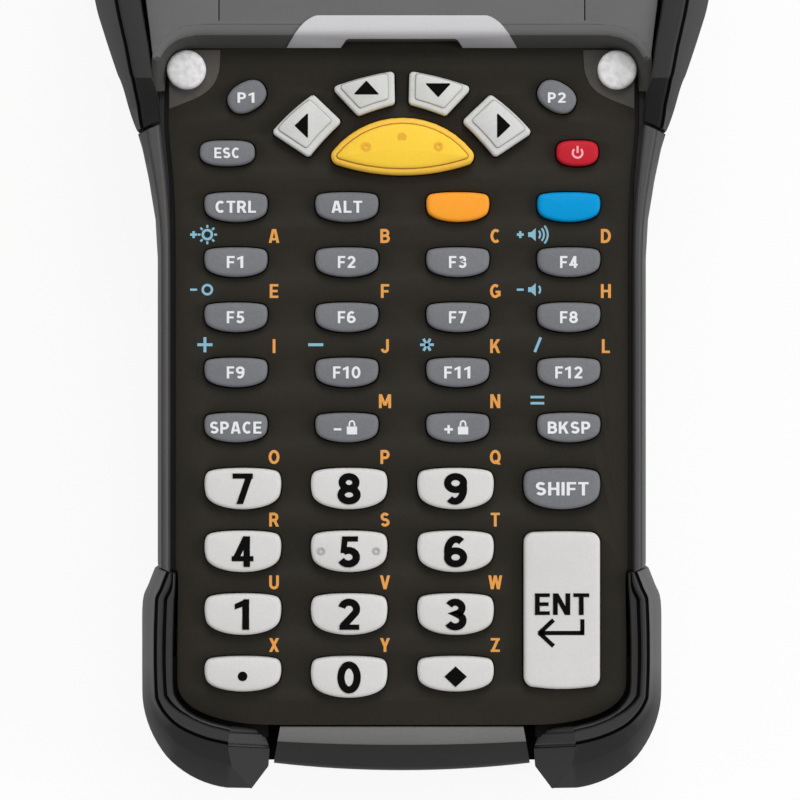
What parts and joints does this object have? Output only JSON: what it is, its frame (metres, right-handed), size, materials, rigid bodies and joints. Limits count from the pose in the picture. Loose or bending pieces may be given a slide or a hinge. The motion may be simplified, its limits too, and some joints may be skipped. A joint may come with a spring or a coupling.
{
  "type": "handheld data terminal",
  "caption": "Rugged handheld data terminal with a full keypad, a display head in a rubber bumper, corner bumpers, a dock socket and a slide-out battery.",
  "frame": {"origin": "bottom centre of the whole terminal, lying on its back", "axes": "+Z out of the keypad and display, +Y towards the display head, +X to the right of the reader"},
  "size_m": [0.091, 0.231, 0.0405],
  "materials": {
    "housing": "fine moulded grain",
    "display_frame": "semi-gloss grey",
    "keypad_panel": "fine matt texture",
    "silicone": "matt",
    "circuit_board": "solder mask",
    "display_glass": "polished",
    "display_module": "plain",
    "bumper_rubber": "satin moulded rubber",
    "end_bar": "satin",
    "screw_steel": "brushed",
    "scan_window": "polished dark red",
    "connector": "plain with contact pads",
    "battery": "fine moulded grain",
    "latch": "ribbed",
    "key_grey": "satin with white legends",
    "key_light": "satin with black legends",
    "key_silver": "satin with black arrows",
    "key_yellow": "satin",
    "key_orange": "satin",
    "key_blue": "satin",
    "key_red": "satin"
  },
  "bodies": {
    "housing": {"front_housing": "display_frame", "rear_housing": "housing", "keypad_bezel": "keypad_panel", "key_mat": "silicone", "main_board": "circuit_board", "display_glass": "display_glass", "display_module": "display_module", "head_bumper": "bumper_rubber", "corner_bumper_left": "bumper_rubber", "corner_bumper_right": "bumper_rubber", "end_bar": "end_bar", "keypad_screw_left": "screw_steel", "keypad_screw_right": "screw_steel", "scan_window": "scan_window", "dock_connector": "connector"},
    "battery_pack": {"battery_pack": "battery"},
    "battery_latch": {"battery_latch": "latch"},
    "key_ctrl": {"key_ctrl": "key_grey"},
    "key_alt": {"key_alt": "key_grey"},
    "key_orange": {"key_orange": "key_orange"},
    "key_blue": {"key_blue": "key_blue"},
    "key_f1": {"key_f1": "key_grey"},
    "key_f2": {"key_f2": "key_grey"},
    "key_f3": {"key_f3": "key_grey"},
    "key_f4": {"key_f4": "key_grey"},
    "key_f5": {"key_f5": "key_grey"},
    "key_f6": {"key_f6": "key_grey"},
    "key_f7": {"key_f7": "key_grey"},
    "key_f8": {"key_f8": "key_grey"},
    "key_f9": {"key_f9": "key_grey"},
    "key_f10": {"key_f10": "key_grey"},
    "key_f11": {"key_f11": "key_grey"},
    "key_f12": {"key_f12": "key_grey"},
    "key_space": {"key_space": "key_grey"},
    "key_lock_minus": {"key_lock_minus": "key_grey"},
    "key_lock_plus": {"key_lock_plus": "key_grey"},
    "key_backspace": {"key_backspace": "key_grey"},
    "key_7": {"key_7": "key_light"},
    "key_8": {"key_8": "key_light"},
    "key_9": {"key_9": "key_light"},
    "key_shift": {"key_shift": "key_grey"},
    "key_4": {"key_4": "key_light"},
    "key_5": {"key_5": "key_light"},
    "key_6": {"key_6": "key_light"},
    "key_1": {"key_1": "key_light"},
    "key_2": {"key_2": "key_light"},
    "key_3": {"key_3": "key_light"},
    "key_point": {"key_point": "key_light"},
    "key_0": {"key_0": "key_light"},
    "key_diamond": {"key_diamond": "key_light"},
    "key_enter": {"key_enter": "key_light"},
    "key_escape": {"key_escape": "key_grey"},
    "key_power": {"key_power": "key_red"},
    "key_p1": {"key_p1": "key_grey"},
    "key_p2": {"key_p2": "key_grey"},
    "key_arrow_up": {"key_arrow_up": "key_silver"},
    "key_arrow_down": {"key_arrow_down": "key_silver"},
    "key_arrow_left": {"key_arrow_left": "key_silver"},
    "key_arrow_right": {"key_arrow_right": "key_silver"},
    "key_scan": {"key_scan": "key_yellow"}
  },
  "joints": [
    {"name": "battery_slide", "type": "slide", "parent": "housing", "child": "battery_pack", "axis": [0, -1, 0], "range_m": [0, 0.08]},
    {"name": "battery_latch_press", "type": "slide", "parent": "battery_pack", "child": "battery_latch", "axis": [0, 1, 0], "range_m": [0, 0.002], "stiffness_N_per_m": 600, "springref_m": -0.0004},
    {"name": "press_scan", "type": "slide", "parent": "housing", "child": "key_scan", "axis": [0, 0, -1], "range_m": [0, 0.0008], "stiffness_N_per_m": 700, "springref_m": -0.0003},
    {"name": "press_enter", "type": "slide", "parent": "housing", "child": "key_enter", "axis": [0, 0, -1], "range_m": [0, 0.0008], "stiffness_N_per_m": 700, "springref_m": -0.0003},
    {"name": "press_power", "type": "slide", "parent": "housing", "child": "key_power", "axis": [0, 0, -1], "range_m": [0, 0.0008], "stiffness_N_per_m": 700, "springref_m": -0.0003},
    {"name": "press_escape", "type": "slide", "parent": "housing", "child": "key_escape", "axis": [0, 0, -1], "range_m": [0, 0.0008], "stiffness_N_per_m": 700, "springref_m": -0.0003},
    {"name": "press_p1", "type": "slide", "parent": "housing", "child": "key_p1", "axis": [0, 0, -1], "range_m": [0, 0.0008], "stiffness_N_per_m": 700, "springref_m": -0.0003},
    {"name": "press_p2", "type": "slide", "parent": "housing", "child": "key_p2", "axis": [0, 0, -1], "range_m": [0, 0.0008], "stiffness_N_per_m": 700, "springref_m": -0.0003},
    {"name": "press_arrow_up", "type": "slide", "parent": "housing", "child": "key_arrow_up", "axis": [0, 0, -1], "range_m": [0, 0.0008], "stiffness_N_per_m": 700, "springref_m": -0.0003},
    {"name": "press_arrow_down", "type": "slide", "parent": "housing", "child": "key_arrow_down", "axis": [0, 0, -1], "range_m": [0, 0.0008], "stiffness_N_per_m": 700, "springref_m": -0.0003},
    {"name": "press_arrow_left", "type": "slide", "parent": "housing", "child": "key_arrow_left", "axis": [0, 0, -1], "range_m": [0, 0.0008], "stiffness_N_per_m": 700, "springref_m": -0.0003},
    {"name": "press_arrow_right", "type": "slide", "parent": "housing", "child": "key_arrow_right", "axis": [0, 0, -1], "range_m": [0, 0.0008], "stiffness_N_per_m": 700, "springref_m": -0.0003},
    {"name": "press_5", "type": "slide", "parent": "housing", "child": "key_5", "axis": [0, 0, -1], "range_m": [0, 0.0008], "stiffness_N_per_m": 700, "springref_m": -0.0003},
    {"name": "press_shift", "type": "slide", "parent": "housing", "child": "key_shift", "axis": [0, 0, -1], "range_m": [0, 0.0008], "stiffness_N_per_m": 700, "springref_m": -0.0003},
    {"name": "press_ctrl", "type": "slide", "parent": "housing", "child": "key_ctrl", "axis": [0, 0, -1], "range_m": [0, 0.0008], "stiffness_N_per_m": 700, "springref_m": -0.0003},
    {"name": "press_alt", "type": "slide", "parent": "housing", "child": "key_alt", "axis": [0, 0, -1], "range_m": [0, 0.0008], "stiffness_N_per_m": 700, "springref_m": -0.0003},
    {"name": "press_orange", "type": "slide", "parent": "housing", "child": "key_orange", "axis": [0, 0, -1], "range_m": [0, 0.0008], "stiffness_N_per_m": 700, "springref_m": -0.0003},
    {"name": "press_blue", "type": "slide", "parent": "housing", "child": "key_blue", "axis": [0, 0, -1], "range_m": [0, 0.0008], "stiffness_N_per_m": 700, "springref_m": -0.0003},
    {"name": "press_f1", "type": "slide", "parent": "housing", "child": "key_f1", "axis": [0, 0, -1], "range_m": [0, 0.0008], "stiffness_N_per_m": 700, "springref_m": -0.0003},
    {"name": "press_f2", "type": "slide", "parent": "housing", "child": "key_f2", "axis": [0, 0, -1], "range_m": [0, 0.0008], "stiffness_N_per_m": 700, "springref_m": -0.0003},
    {"name": "press_f3", "type": "slide", "parent": "housing", "child": "key_f3", "axis": [0, 0, -1], "range_m": [0, 0.0008], "stiffness_N_per_m": 700, "springref_m": -0.0003},
    {"name": "press_f4", "type": "slide", "parent": "housing", "child": "key_f4", "axis": [0, 0, -1], "range_m": [0, 0.0008], "stiffness_N_per_m": 700, "springref_m": -0.0003},
    {"name": "press_f5", "type": "slide", "parent": "housing", "child": "key_f5", "axis": [0, 0, -1], "range_m": [0, 0.0008], "stiffness_N_per_m": 700, "springref_m": -0.0003},
    {"name": "press_f6", "type": "slide", "parent": "housing", "child": "key_f6", "axis": [0, 0, -1], "range_m": [0, 0.0008], "stiffness_N_per_m": 700, "springref_m": -0.0003},
    {"name": "press_f7", "type": "slide", "parent": "housing", "child": "key_f7", "axis": [0, 0, -1], "range_m": [0, 0.0008], "stiffness_N_per_m": 700, "springref_m": -0.0003},
    {"name": "press_f8", "type": "slide", "parent": "housing", "child": "key_f8", "axis": [0, 0, -1], "range_m": [0, 0.0008], "stiffness_N_per_m": 700, "springref_m": -0.0003},
    {"name": "press_f9", "type": "slide", "parent": "housing", "child": "key_f9", "axis": [0, 0, -1], "range_m": [0, 0.0008], "stiffness_N_per_m": 700, "springref_m": -0.0003},
    {"name": "press_f10", "type": "slide", "parent": "housing", "child": "key_f10", "axis": [0, 0, -1], "range_m": [0, 0.0008], "stiffness_N_per_m": 700, "springref_m": -0.0003},
    {"name": "press_f11", "type": "slide", "parent": "housing", "child": "key_f11", "axis": [0, 0, -1], "range_m": [0, 0.0008], "stiffness_N_per_m": 700, "springref_m": -0.0003},
    {"name": "press_f12", "type": "slide", "parent": "housing", "child": "key_f12", "axis": [0, 0, -1], "range_m": [0, 0.0008], "stiffness_N_per_m": 700, "springref_m": -0.0003},
    {"name": "press_space", "type": "slide", "parent": "housing", "child": "key_space", "axis": [0, 0, -1], "range_m": [0, 0.0008], "stiffness_N_per_m": 700, "springref_m": -0.0003},
    {"name": "press_lock_minus", "type": "slide", "parent": "housing", "child": "key_lock_minus", "axis": [0, 0, -1], "range_m": [0, 0.0008], "stiffness_N_per_m": 700, "springref_m": -0.0003},
    {"name": "press_lock_plus", "type": "slide", "parent": "housing", "child": "key_lock_plus", "axis": [0, 0, -1], "range_m": [0, 0.0008], "stiffness_N_per_m": 700, "springref_m": -0.0003},
    {"name": "press_backspace", "type": "slide", "parent": "housing", "child": "key_backspace", "axis": [0, 0, -1], "range_m": [0, 0.0008], "stiffness_N_per_m": 700, "springref_m": -0.0003},
    {"name": "press_7", "type": "slide", "parent": "housing", "child": "key_7", "axis": [0, 0, -1], "range_m": [0, 0.0008], "stiffness_N_per_m": 700, "springref_m": -0.0003},
    {"name": "press_8", "type": "slide", "parent": "housing", "child": "key_8", "axis": [0, 0, -1], "range_m": [0, 0.0008], "stiffness_N_per_m": 700, "springref_m": -0.0003},
    {"name": "press_9", "type": "slide", "parent": "housing", "child": "key_9", "axis": [0, 0, -1], "range_m": [0, 0.0008], "stiffness_N_per_m": 700, "springref_m": -0.0003},
    {"name": "press_4", "type": "slide", "parent": "housing", "child": "key_4", "axis": [0, 0, -1], "range_m": [0, 0.0008], "stiffness_N_per_m": 700, "springref_m": -0.0003},
    {"name": "press_6", "type": "slide", "parent": "housing", "child": "key_6", "axis": [0, 0, -1], "range_m": [0, 0.0008], "stiffness_N_per_m": 700, "springref_m": -0.0003},
    {"name": "press_1", "type": "slide", "parent": "housing", "child": "key_1", "axis": [0, 0, -1], "range_m": [0, 0.0008], "stiffness_N_per_m": 700, "springref_m": -0.0003},
    {"name": "press_2", "type": "slide", "parent": "housing", "child": "key_2", "axis": [0, 0, -1], "range_m": [0, 0.0008], "stiffness_N_per_m": 700, "springref_m": -0.0003},
    {"name": "press_3", "type": "slide", "parent": "housing", "child": "key_3", "axis": [0, 0, -1], "range_m": [0, 0.0008], "stiffness_N_per_m": 700, "springref_m": -0.0003},
    {"name": "press_point", "type": "slide", "parent": "housing", "child": "key_point", "axis": [0, 0, -1], "range_m": [0, 0.0008], "stiffness_N_per_m": 700, "springref_m": -0.0003},
    {"name": "press_0", "type": "slide", "parent": "housing", "child": "key_0", "axis": [0, 0, -1], "range_m": [0, 0.0008], "stiffness_N_per_m": 700, "springref_m": -0.0003},
    {"name": "press_diamond", "type": "slide", "parent": "housing", "child": "key_diamond", "axis": [0, 0, -1], "range_m": [0, 0.0008], "stiffness_N_per_m": 700, "springref_m": -0.0003}
  ]
}
